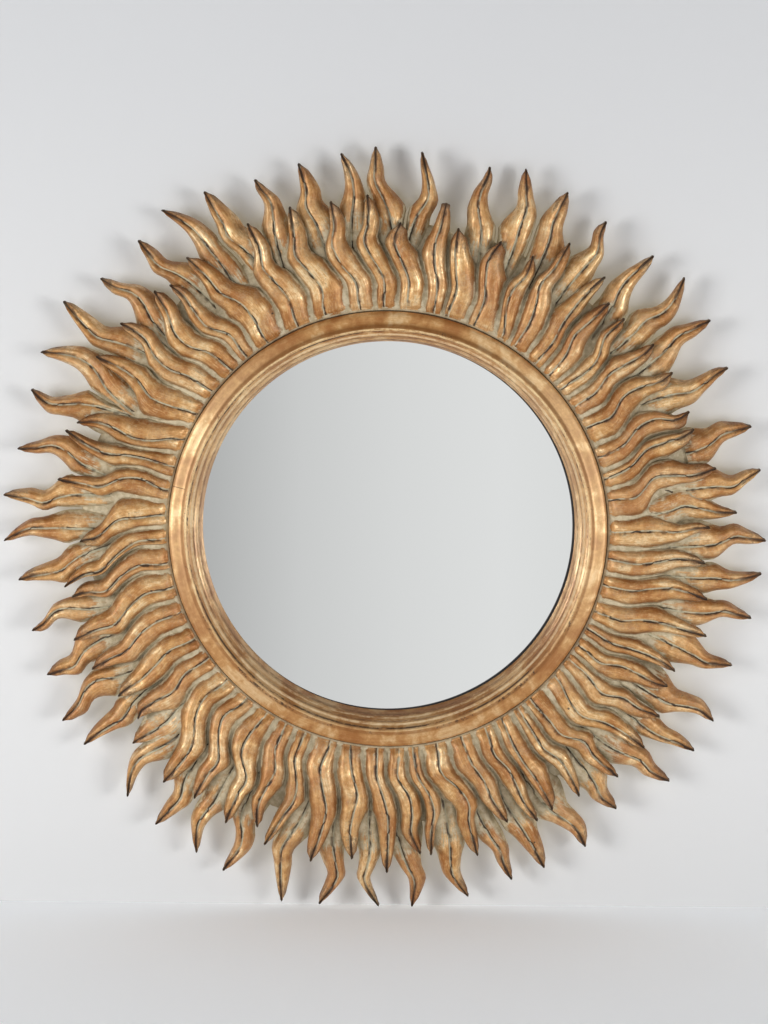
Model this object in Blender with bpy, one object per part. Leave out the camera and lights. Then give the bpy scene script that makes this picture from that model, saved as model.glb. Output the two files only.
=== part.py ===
"""Round wall mirror in a carved giltwood sunburst frame.

Z is up, the wall is the plane Y = 0 and the front faces -Y.
Bearings are degrees clockwise from the top as seen from the front.
Depths are distances out from the wall.
"""
import math

import bmesh
import bpy

# Clearance left between pieces that touch
GAP = 0.0003

# Round parts: the sight size of the glass drives the rest
TURNED_STEPS = 48
SIGHT_RADIUS = 0.2430
GLASS_OVERLAP = 0.0150
GLASS_PLAY = 0.0040
GLASS_THICK = 0.0040
BOARD_THICK = 0.0057
MOULD_SLOPE = 0.0195
MOULD_BAND = 0.0220
MOULD_RISE = 0.0130
MOULD_EDGE = 0.0157
MOULD_LIP = 0.0025
SEAT_DEPTH = 0.0300
GLASS_RADIUS = SIGHT_RADIUS + GLASS_OVERLAP
SEAT_RADIUS = GLASS_RADIUS + GLASS_PLAY
MOULD_CREST = SIGHT_RADIUS + MOULD_SLOPE
MOULD_OUTER = MOULD_CREST + MOULD_BAND

# Carved ring that carries the rays, with a thinner web between the back rays
RING_WIDTH = 0.0675
RING_SHELF = 0.0455
RING_LIP_DEPTH = 0.0450
RING_SHOULDER_DEPTH = 0.0435
WEB_WIDTH = 0.0560
WEB_THICK = 0.0090
RING_RIM_DEPTH = 0.0280

# Hanging plate, let into the back of the ring at the top
PLATE_WIDTH = 0.0600
PLATE_HEIGHT = 0.0240
PLATE_THICK = 0.0020
PLATE_OFFSET = 0.0215
KEY_HEAD = 0.0045
KEY_SLOT = 0.0022
KEY_RISE = 0.0070
KEY_POCKET = 0.0090
KEY_STEPS = 12
PLATE_RADIUS = MOULD_OUTER + PLATE_OFFSET

# Rays: radii, distances and heights are counted in RAY_UNIT. A radius of
# EDGE_READ lies on the outer edge of the moulding. Heights of the front rays
# are over the shoulder of the ring, and those of the other rays over its rim
RAY_UNIT = 0.0010
EDGE_READ = 284.5
LOBE_SHARE = 0.46
GROOVE_SINK = 4.5
TIP_HALF = 1.6
TIP_DROP = 4.0
TIP_LEAST = 1.0
UNDER_STAGGER = 0.7

# Back rays, read off one by one: tip bearing, reach, groove bearing
# at each of BACK_STATIONS, then the breadth in degrees to the left and right
BACK_LAP = 0.0080
BACK_ROOT = EDGE_READ + (RING_WIDTH - BACK_LAP) / RAY_UNIT
BACK_UNDER = -12.0
BACK_READ = 440
BACK_STATIONS = (470, 450, 430, 405)
BACK_RAYS = (
    (5.1, 490, 5.8, 6.6, 6.8, 5.1, 1.2, 1.3),
    (15.6, 487, 15.7, 15.3, 15.7, 17.3, 1.4, 1.5),
    (20.8, 499, 22.2, 23.3, 23.4, 23.8, 2.1, 2.0),
    (27.9, 494, 28.0, 28.1, 28.9, 29.4, 2.3, 2.2),
    (35.1, 488, 35.5, 36.8, 36.7, 36.4, 1.9, 1.4),
    (43.9, 493, 43.7, 43.5, 43.8, 45.1, 1.5, 1.9),
    (49.4, 503, 51.2, 51.4, 50.7, 51.1, 1.7, 2.2),
    (56.75, 497, 56.4, 56.0, 56.7, 57.3, 1.9, 2.0),
    (64.3, 487, 64.4, 64.9, 65.2, 64.2, 1.6, 1.5),
    (73.9, 489, 73.8, 73.8, 74.9, 75.4, 2.2, 1.8),
    (80.7, 489, 81.7, 82.7, 82.3, 82.1, 2.2, 1.6),
    (91.6, 491, 91.3, 91.0, 92.2, 92.8, 2.2, 1.8),
    (96.7, 489, 97.7, 98.3, 98.3, 98.8, 1.7, 1.9),
    (103.7, 487, 103.7, 103.6, 104.6, 105.3, 1.8, 1.5),
    (111.6, 483, 112.1, 112.7, 112.3, 112.0, 1.8, 1.5),
    (120.6, 495, 120.2, 120.9, 121.9, 121.9, 2.3, 1.8),
    (126.0, 496, 126.6, 127.3, 127.6, 127.6, 2.1, 1.3),
    (132.0, 497, 132.8, 132.6, 133.5, 134.5, 2.1, 2.0),
    (140.9, 476, 141.1, 141.6, 140.9, 140.7, 2.0, 1.7),
    (148.3, 495, 148.0, 148.7, 150.0, 150.8, 2.4, 2.2),
    (155.4, 495, 155.5, 155.7, 156.0, 156.6, 2.2, 2.1),
    (160.7, 494, 161.0, 160.9, 161.6, 162.2, 1.7, 1.6),
    (167.8, 501, 169.4, 169.4, 169.0, 168.7, 2.0, 2.1),
    (176.4, 505, 175.7, 176.6, 177.4, 178.2, 2.5, 1.6),
    (181.4, 504, 183.8, 183.5, 183.1, 183.5, 1.6, 1.6),
    (190.3, 510, 188.2, 188.8, 189.6, 190.1, 1.5, 2.6),
    (195.8, 518, 197.5, 198.2, 197.7, 196.6, 2.2, 1.8),
    (205.5, 507, 204.7, 205.2, 206.7, 207.3, 2.3, 1.6),
    (210.3, 502, 212.3, 212.5, 212.1, 212.4, 1.8, 2.1),
    (217.8, 501, 217.4, 217.3, 218.5, 219.2, 2.1, 1.9),
    (223.8, 497, 226.0, 226.8, 226.3, 225.4, 1.8, 1.6),
    (234.2, 494, 234.3, 234.2, 234.1, 235.3, 1.3, 2.1),
    (239.0, 500, 240.0, 241.7, 242.1, 241.0, 2.7, 1.4),
    (246.4, 489, 246.2, 246.0, 247.7, 248.5, 1.9, 2.5),
    (253.6, 487, 254.1, 255.7, 255.7, 254.7, 1.8, 1.3),
    (261.8, 489, 262.1, 262.2, 262.5, 264.6, 1.7, 1.9),
    (267.9, 503, 269.7, 269.9, 270.0, 269.9, 2.0, 2.0),
    (274.8, 504, 274.5, 274.1, 275.4, 276.2, 1.5, 2.4),
    (282.0, 494, 282.8, 283.8, 283.5, 281.9, 1.7, 1.9),
    (291.2, 498, 290.2, 291.0, 292.2, 293.0, 2.3, 1.8),
    (296.9, 506, 298.6, 299.0, 298.4, 296.4, 2.3, 2.4),
    (305.0, 514, 303.8, 303.5, 304.5, 305.6, 1.9, 2.4),
    (311.1, 494, 311.7, 312.9, 312.8, 311.6, 1.9, 1.8),
    (319.2, 494, 319.1, 319.1, 320.5, 321.6, 1.6, 2.0),
    (324.7, 506, 326.8, 327.4, 327.6, 328.0, 1.7, 2.2),
    (331.5, 497, 331.6, 331.8, 331.6, 333.2, 1.5, 2.7),
    (339.2, 484, 339.6, 340.4, 340.0, 339.1, 1.5, 1.6),
    (346.3, 487, 346.5, 346.5, 345.9, 346.9, 1.3, 2.4),
    (352.9, 490, 353.8, 354.3, 354.2, 353.4, 1.6, 1.6),
    (358.15, 495, 358.0, 357.9, 359.1, 360.4, 1.6, 2.0),
)

# Short rays that fill two gaps behind the front tier
FILL_LAP = 0.0060
FILL_ROOT = EDGE_READ + (RING_WIDTH - FILL_LAP) / RAY_UNIT
FILL_UNDER = -5.0
FILL_READ = 405
FILL_STATIONS = (430, 405, 385, 365)
FILL_RAYS = (
    (87.0, 453, 86.8, 85.8, 85.1, 85.9, 1.7, 1.5),
    (229.6, 440, 229.5, 228.9, 228.6, 229.1, 1.8, 1.9),
)

# Front rays, read off in the same way at FRONT_STATIONS
FRONT_ROOT = 286.5
FRONT_UNDER = -1.7
FRONT_READ = 370
FRONT_STATIONS = (400, 375, 350, 325, 300)
FRONT_RAYS = (
    (2.4, 399, 2.2, 1.4, 3.0, 4.9, 5.0, 1.8, 2.8),
    (10.1, 430, 9.9, 9.4, 10.0, 11.4, 11.8, 2.0, 2.3),
    (13.1, 402, 13.1, 13.5, 14.5, 15.9, 15.6, 1.3, 2.8),
    (21.3, 402, 21.3, 20.3, 21.1, 22.6, 22.7, 1.2, 3.0),
    (27.7, 402, 27.9, 28.2, 27.2, 28.0, 30.0, 1.1, 1.7),
    (32.1, 440, 32.2, 31.6, 33.0, 34.1, 34.3, 1.5, 2.4),
    (40.3, 432, 39.7, 39.6, 39.9, 40.9, 41.1, 2.1, 1.8),
    (43.9, 411, 43.9, 43.7, 43.4, 45.0, 45.6, 1.8, 1.8),
    (47.8, 411, 47.8, 48.0, 50.4, 50.9, 50.5, 1.2, 1.9),
    (54.6, 420, 55.0, 54.6, 54.4, 55.9, 56.1, 2.0, 2.2),
    (60.6, 421, 60.9, 59.9, 60.0, 62.5, 62.3, 2.1, 2.4),
    (68.1, 419, 68.6, 66.9, 67.2, 69.6, 70.4, 1.5, 3.1),
    (71.3, 417, 71.9, 71.9, 72.2, 74.8, 76.0, 1.6, 2.9),
    (78.9, 432, 79.3, 78.6, 78.4, 81.8, 81.9, 3.0, 2.0),
    (89.2, 417, 89.2, 89.9, 89.7, 89.8, 90.2, 1.4, 2.0),
    (95.6, 413, 95.3, 95.2, 96.4, 97.3, 97.2, 1.5, 2.1),
    (102.0, 424, 101.4, 101.2, 102.2, 103.6, 104.0, 1.8, 2.4),
    (108.2, 436, 108.3, 108.4, 109.1, 110.8, 111.1, 2.2, 2.0),
    (116.0, 416, 115.5, 115.3, 115.7, 116.5, 116.1, 1.3, 1.5),
    (119.0, 417, 119.6, 119.6, 120.0, 121.7, 121.1, 1.7, 2.2),
    (124.4, 430, 125.2, 125.3, 127.1, 126.0, 125.4, 1.6, 2.8),
    (130.3, 440, 130.7, 131.6, 133.6, 133.1, 131.4, 2.7, 1.9),
    (137.0, 442, 137.6, 137.1, 139.6, 139.6, 139.8, 2.1, 2.4),
    (144.3, 430, 143.4, 143.1, 144.4, 144.2, 144.0, 2.0, 1.9),
    (149.5, 426, 149.2, 149.2, 149.6, 149.6, 149.1, 2.8, 1.6),
    (152.8, 430, 153.4, 153.2, 153.2, 154.5, 153.9, 1.8, 2.0),
    (157.7, 415, 158.2, 158.8, 159.0, 160.1, 160.4, 1.7, 2.3),
    (164.6, 446, 164.5, 163.5, 164.7, 167.5, 167.2, 1.9, 2.8),
    (172.4, 433, 171.7, 170.6, 171.1, 172.9, 173.3, 1.3, 1.8),
    (174.2, 430, 175.5, 175.0, 175.3, 177.6, 177.2, 2.0, 2.6),
    (180.1, 454, 179.8, 179.9, 180.9, 182.4, 182.6, 2.1, 2.6),
    (186.1, 438, 187.0, 186.8, 186.4, 188.0, 189.3, 2.4, 2.9),
    (193.0, 451, 192.2, 192.3, 194.0, 195.6, 195.1, 2.4, 3.3),
    (201.2, 448, 199.8, 198.9, 199.8, 201.8, 202.0, 1.8, 2.0),
    (203.5, 429, 205.0, 205.0, 204.8, 206.8, 207.2, 2.2, 2.2),
    (208.7, 443, 209.3, 209.4, 213.0, 213.8, 213.3, 2.6, 2.5),
    (215.5, 437, 216.1, 216.1, 219.1, 221.1, 219.8, 2.3, 2.7),
    (221.3, 446, 221.4, 222.5, 225.6, 227.3, 226.7, 3.0, 3.3),
    (232.6, 411, 233.5, 233.3, 232.8, 234.3, 234.1, 2.7, 2.3),
    (238.0, 415, 238.3, 238.6, 239.6, 240.8, 240.3, 2.4, 2.4),
    (244.5, 428, 244.9, 245.0, 247.0, 248.1, 248.0, 2.5, 2.3),
    (250.4, 435, 250.8, 250.8, 253.3, 255.1, 254.8, 2.2, 3.2),
    (257.8, 421, 258.1, 257.6, 260.2, 261.8, 261.2, 1.3, 2.4),
    (259.8, 428, 261.4, 262.0, 265.0, 267.4, 267.5, 0.9, 2.3),
    (267.8, 400, 267.9, 268.8, 272.1, 272.8, 273.6, 2.2, 1.9),
    (278.7, 433, 278.6, 278.7, 281.1, 281.8, 280.5, 1.9, 1.8),
    (287.2, 437, 285.7, 285.4, 286.2, 286.6, 286.5, 1.9, 1.8),
    (289.1, 426, 290.5, 290.6, 290.1, 291.1, 293.4, 1.9, 2.5),
    (300.9, 439, 301.5, 301.1, 299.5, 299.9, 301.1, 2.2, 2.8),
    (307.9, 437, 308.5, 307.0, 306.7, 308.0, 308.3, 2.2, 2.5),
    (315.9, 432, 314.9, 313.1, 313.1, 315.2, 315.7, 2.3, 2.8),
    (318.6, 424, 319.2, 318.8, 318.9, 321.4, 321.1, 1.7, 1.9),
    (323.8, 438, 324.8, 325.2, 327.3, 328.0, 327.6, 2.3, 3.1),
    (335.6, 436, 335.8, 334.9, 336.1, 337.1, 336.5, 2.1, 2.3),
    (343.3, 437, 342.6, 341.7, 343.3, 344.9, 344.1, 1.7, 2.9),
    (350.3, 432, 350.2, 349.2, 350.3, 352.8, 352.9, 1.4, 2.8),
    (356.6, 435, 356.5, 355.5, 357.2, 359.3, 359.2, 1.6, 2.6),
)

# Breadth of a back ray by distance from its tip, as a share of the read one
BACK_SWELL = ((15, 0.46), (30, 0.71), (45, 0.94), (60, 1.14), (75, 1.29), (90, 1.37), (105, 1.40))
# Breadth of a front ray by radius, as a share of the read one
FRONT_SWELL = (
    (290, 1.62), (300, 1.60), (325, 1.50), (350, 1.25), (370, 1.00), (400, 0.73), (460, 0.30),
)
FRONT_BLUNT = 6.0
# Height of the lobes along each tier, by radius
BACK_CREST = ((344, 10.0), (385, 12.2), (420, 10.5), (450, 7.2), (480, 2.5), (515, -1.5))
FRONT_CREST = (
    (286.5, 3.3), (300, 9.9), (325, 14.7), (350, 16.7), (375, 15.9), (400, 13.1),
    (430, 8.3), (455, 5.0),
)


def clear_scene():
    for thing in list(bpy.data.objects):
        bpy.data.objects.remove(thing, do_unlink=True)


def make_material(name, colour, metallic, roughness):
    material = bpy.data.materials.new(name)
    material.use_nodes = True
    shader = material.node_tree.nodes["Principled BSDF"]
    shader.inputs["Base Color"].default_value = (*colour, 1.0)
    shader.inputs["Metallic"].default_value = metallic
    shader.inputs["Roughness"].default_value = roughness
    return material


def polar(bearing, radius, depth):
    turn = math.radians(bearing)
    return (radius * math.sin(turn), -depth, radius * math.cos(turn))


def new_object(name, bm, material):
    bmesh.ops.recalc_face_normals(bm, faces=bm.faces)
    mesh = bpy.data.meshes.new(name)
    bm.to_mesh(mesh)
    bm.free()
    mesh.materials.append(material)
    thing = bpy.data.objects.new(name, mesh)
    bpy.context.scene.collection.objects.link(thing)
    return thing


def as_cutter(thing):
    thing.hide_render = True
    thing.display_type = "WIRE"
    return thing


def combine(target, other, operation):
    modifier = target.modifiers.new(other.name, "BOOLEAN")
    modifier.operation = operation
    modifier.solver = "EXACT"
    modifier.object = other


def turned(name, profile, material):
    """A ring turned from a closed profile of (radius, depth) pairs."""
    bm = bmesh.new()
    rings = []
    for step in range(TURNED_STEPS):
        bearing = 360.0 * step / TURNED_STEPS
        rings.append([bm.verts.new(polar(bearing, r, d)) for r, d in profile])
    for step in range(TURNED_STEPS):
        join_sections(bm, rings[step - 1], rings[step])
    return new_object(name, bm, material)


def join_sections(bm, here, there):
    """Walls between two closed sections with the same number of corners."""
    count = len(here)
    for k in range(count):
        n = (k + 1) % count
        bm.faces.new((here[k], here[n], there[n], there[k]))


def prism(name, outline, near, far, material):
    """A flat plate of the outline (x, z) between two depths."""
    bm = bmesh.new()
    low = [bm.verts.new((x, -near, z)) for x, z in outline]
    high = [bm.verts.new((x, -far, z)) for x, z in outline]
    join_sections(bm, low, high)
    bm.faces.new(low)
    bm.faces.new(high)
    return new_object(name, bm, material)


def circle_outline(radius, steps=TURNED_STEPS):
    turns = [2.0 * math.pi * step / steps for step in range(steps)]
    return [(radius * math.sin(turn), radius * math.cos(turn)) for turn in turns]


def between(pairs, value):
    """Straight-line reading of (place, size) pairs."""
    if value <= pairs[0][0]:
        return pairs[0][1]
    for (x1, y1), (x2, y2) in zip(pairs, pairs[1:]):
        if value <= x2:
            return y1 + (y2 - y1) * (value - x1) / (x2 - x1)
    return pairs[-1][1]


def sway(knots, value):
    """Smooth curve through (radius, bearing) knots, read at one radius."""
    if value <= knots[0][0]:
        return knots[0][1]
    if value >= knots[-1][0]:
        return knots[-1][1]
    place = 0
    while value > knots[place + 1][0]:
        place += 1
    x1, y1 = knots[place]
    x2, y2 = knots[place + 1]
    x0, y0 = knots[place - 1] if place > 0 else (2 * x1 - x2, 2 * y1 - y2)
    x3, y3 = knots[place + 2] if place + 2 < len(knots) else (2 * x2 - x1, 2 * y2 - y1)
    m1 = (y2 - y0) / (x2 - x0) * (x2 - x1)
    m2 = (y3 - y1) / (x3 - x1) * (x2 - x1)
    t = (value - x1) / (x2 - x1)
    start = (2 * t**3 - 3 * t**2 + 1) * y1 + (t**3 - 2 * t**2 + t) * m1
    return start + (3 * t**2 - 2 * t**3) * y2 + (t**3 - t**2) * m2


def ray_knots(row, stations, root):
    """The groove line of one ray, from its root to its tip."""
    tip, reach = row[0], row[1]
    knots = [(reach, tip)]
    for place, bearing in zip(stations, row[2:2 + len(stations)]):
        if place < reach - 10:
            knots.append((place, bearing))
    last, before = knots[-1], knots[-2]
    if last[0] > root + 10:
        lean = (last[1] - before[1]) / (before[0] - last[0])
        knots.append((root, last[1] + 0.5 * lean * (last[0] - root)))
    return sorted(knots)


def ray_corner(bearing, place, base, height):
    """A corner of a ray, from a radius and a height over a base depth."""
    radius = MOULD_OUTER + (place - EDGE_READ) * RAY_UNIT
    return polar(bearing, radius, base + height * RAY_UNIT)


def back_breadth(reach, place):
    return between(BACK_SWELL, reach - place) / between(BACK_SWELL, reach - BACK_READ)


def fill_breadth(reach, place):
    return between(BACK_SWELL, reach - place) / between(BACK_SWELL, reach - FILL_READ)


def front_breadth(reach, place):
    here, read = reach - place, reach - FRONT_READ
    cap = here / (here + FRONT_BLUNT) * (read + FRONT_BLUNT) / read
    return between(FRONT_SWELL, place) * cap


def add_ray(bm, row, stations, places, breadth, crest, base, under):
    """One carved ray over a flat underside, from its root to a blunt tip."""
    reach = row[1]
    left, right = row[-2], row[-1]
    knots = ray_knots(row, stations, places[0])
    rings = []
    for place in places:
        centre = sway(knots, place)
        top = between(crest, place)
        share = breadth(reach, place)
        half_l, half_r = left * share, right * share
        sink = min(GROOVE_SINK, 0.5 * (top - under))
        rings.append([bm.verts.new(ray_corner(centre + turn, place, base, rise)) for turn, rise in (
            (-half_l, under),
            (-half_l * LOBE_SHARE, top),
            (0.0, top - sink),
            (half_r * LOBE_SHARE, top),
            (half_r, under),
        )])
    for here, there in zip(rings, rings[1:]):
        join_sections(bm, here, there)
    bm.faces.new(rings[0])
    outer_l, lobe_l, groove, lobe_r, outer_r = rings[-1]
    level = max(between(crest, reach) - TIP_DROP, under + TIP_LEAST)
    half = math.degrees(TIP_HALF / reach)
    end_l = bm.verts.new(ray_corner(row[0] - half, reach, base, level))
    end_r = bm.verts.new(ray_corner(row[0] + half, reach, base, level))
    for corners in ((outer_l, lobe_l, end_l), (lobe_l, groove, end_l), (groove, end_r, end_l),
                    (groove, lobe_r, end_r), (lobe_r, outer_r, end_r),
                    (outer_r, outer_l, end_l), (outer_r, end_l, end_r)):
        bm.faces.new(corners)


def back_places(reach):
    return (BACK_ROOT, 410, 444, reach - 14)


def fill_places(reach):
    return (FILL_ROOT, 385, 410, reach - 14)


def front_places(reach):
    if reach < 431:
        return (FRONT_ROOT, 325, 352, reach - 18)
    return (FRONT_ROOT, 325, 350, 378, reach - 15)


def add_tier(ring, name, rows, stations, places, breadth, crest, base, under, sets, material):
    """Joins one tier of rays to the ring, in sets whose rays stand apart."""
    for part in range(sets):
        bm = bmesh.new()
        for number, row in enumerate(rows[part::sets]):
            level = under + UNDER_STAGGER * ((number + part) % 3)
            add_ray(bm, row, stations, places(row[1]), breadth, crest, base, level)
        combine(ring, as_cutter(new_object("%s_%d" % (name, part + 1), bm, material)), "UNION")


def plate_outline(grow):
    """The hanging plate with clipped corners, grown all round by a clearance."""
    half_w = PLATE_WIDTH / 2 + grow
    half_h = PLATE_HEIGHT / 2 + grow
    clip = PLATE_THICK * 1.5
    corners = []
    for sx, sz in ((1, 1), (1, -1), (-1, -1), (-1, 1)):
        first = (sx * (half_w - clip), PLATE_RADIUS + sz * half_h)
        second = (sx * half_w, PLATE_RADIUS + sz * (half_h - clip))
        corners += [first, second] if sx * sz > 0 else [second, first]
    return corners


def keyhole_outline(grow):
    """A round hole with a narrower slot rising from it."""
    head, slot = KEY_HEAD + grow, KEY_SLOT + grow
    centre = PLATE_RADIUS - KEY_RISE / 2
    start = math.asin(slot / head)
    points = []
    for step in range(KEY_STEPS + 1):
        turn = start + (2.0 * math.pi - 2.0 * start) * step / KEY_STEPS
        points.append((head * math.sin(turn), centre + head * math.cos(turn)))
    for step in range(5):
        turn = -math.pi / 2 + math.pi * step / 4
        points.append((slot * math.sin(turn), centre + KEY_RISE + slot * math.cos(turn)))
    return points


def build_frame(gilt):
    bore = MOULD_OUTER + GAP
    rim = MOULD_OUTER + RING_WIDTH
    profile = (
        (SEAT_RADIUS, 0.0),
        (rim, 0.0),
        (rim, RING_RIM_DEPTH - WEB_THICK),
        (rim + WEB_WIDTH, RING_RIM_DEPTH - WEB_THICK),
        (rim + WEB_WIDTH, RING_RIM_DEPTH),
        (MOULD_OUTER + RING_SHELF, RING_SHOULDER_DEPTH),
        (bore, RING_LIP_DEPTH),
        (bore, SEAT_DEPTH),
        (SEAT_RADIUS, SEAT_DEPTH),
    )
    ring = turned("sunburst_frame", profile, gilt)
    seat = prism("plate_seat", plate_outline(GAP), -0.001, PLATE_THICK + GAP, gilt)
    combine(ring, as_cutter(seat), "DIFFERENCE")
    pocket = prism("key_pocket", keyhole_outline(KEY_SLOT), PLATE_THICK / 2, KEY_POCKET, gilt)
    combine(ring, as_cutter(pocket), "DIFFERENCE")
    add_tier(ring, "back_rays", BACK_RAYS, BACK_STATIONS, back_places, back_breadth,
             BACK_CREST, RING_RIM_DEPTH, BACK_UNDER, 5, gilt)
    add_tier(ring, "fill_rays", FILL_RAYS, FILL_STATIONS, fill_places, fill_breadth,
             BACK_CREST, RING_RIM_DEPTH, FILL_UNDER, 1, gilt)
    add_tier(ring, "front_rays", FRONT_RAYS, FRONT_STATIONS, front_places, front_breadth,
             FRONT_CREST, RING_SHOULDER_DEPTH, FRONT_UNDER, 3, gilt)
    return ring


def build_moulding(gilt):
    lip = BOARD_THICK + GAP + GLASS_THICK + GAP
    back = SEAT_DEPTH + GAP
    edge = back + MOULD_EDGE
    crest = edge + MOULD_RISE
    fall = crest - lip
    profile = (
        (SEAT_RADIUS - GAP, lip),
        (SEAT_RADIUS - GAP, back),
        (MOULD_OUTER, back),
        (MOULD_OUTER, edge),
        (MOULD_OUTER - 0.30 * MOULD_BAND, edge + 0.55 * MOULD_RISE),
        (MOULD_OUTER - 0.66 * MOULD_BAND, edge + 0.69 * MOULD_RISE),
        (MOULD_CREST, crest),
        (MOULD_CREST - 0.44 * MOULD_SLOPE, crest - 0.24 * fall),
        (MOULD_CREST - 0.74 * MOULD_SLOPE, crest - 0.54 * fall),
        (SIGHT_RADIUS, lip + MOULD_LIP),
        (SIGHT_RADIUS, lip),
    )
    return turned("round_moulding", profile, gilt)


def build_plate(steel):
    plate = prism("hanging_plate", plate_outline(0.0), 0.0, PLATE_THICK, steel)
    hole = prism("key_hole", keyhole_outline(0.0), -PLATE_THICK, 2 * PLATE_THICK, steel)
    combine(plate, as_cutter(hole), "DIFFERENCE")
    return plate


def main():
    clear_scene()
    gilt = make_material("gilt_wood", (0.56, 0.31, 0.11), 0.35, 0.42)
    ridge = make_material("worn_gilt", (0.50, 0.27, 0.10), 0.35, 0.40)
    silver = make_material("silvered_glass", (0.78, 0.79, 0.78), 1.0, 0.03)
    board = make_material("bare_wood", (0.30, 0.20, 0.12), 0.0, 0.75)
    steel = make_material("steel_plate", (0.42, 0.41, 0.39), 1.0, 0.45)
    build_frame(gilt)
    build_moulding(ridge)
    glass_back = BOARD_THICK + GAP
    prism("mirror_glass", circle_outline(GLASS_RADIUS), glass_back, glass_back + GLASS_THICK, silver)
    prism("back_board", circle_outline(SEAT_RADIUS - GAP), 0.0, BOARD_THICK, board)
    build_plate(steel)


main()
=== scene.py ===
"""Photo-matching scene of a round mirror in a carved giltwood sunburst frame.

Bearings are degrees clockwise from the top, seen from the front. Depths are
distances out from the wall, which is the plane Y = 0. The front faces -Y.
"""
import math

import bmesh
import bpy
from mathutils import Matrix, Vector, noise
from mathutils.bvhtree import BVHTree


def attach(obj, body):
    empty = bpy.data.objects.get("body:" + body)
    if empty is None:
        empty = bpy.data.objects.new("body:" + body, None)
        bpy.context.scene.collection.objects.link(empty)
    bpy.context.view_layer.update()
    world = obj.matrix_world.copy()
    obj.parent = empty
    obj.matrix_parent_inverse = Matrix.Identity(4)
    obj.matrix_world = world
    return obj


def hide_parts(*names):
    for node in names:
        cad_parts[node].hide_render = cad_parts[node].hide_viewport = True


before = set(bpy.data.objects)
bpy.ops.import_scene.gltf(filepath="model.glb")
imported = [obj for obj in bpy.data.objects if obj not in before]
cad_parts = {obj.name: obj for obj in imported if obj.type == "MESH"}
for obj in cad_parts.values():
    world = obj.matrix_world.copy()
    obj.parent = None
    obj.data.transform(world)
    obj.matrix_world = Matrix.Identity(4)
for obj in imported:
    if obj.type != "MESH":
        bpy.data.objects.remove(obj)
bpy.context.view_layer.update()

# Back rays: tip bearing, reach in mm, groove bearing at each of the
# stations, then the breadth in degrees to the left and right of the groove
BACK_STATIONS = (0.470, 0.450, 0.430, 0.405)
BACK_READ = 0.440
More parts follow.
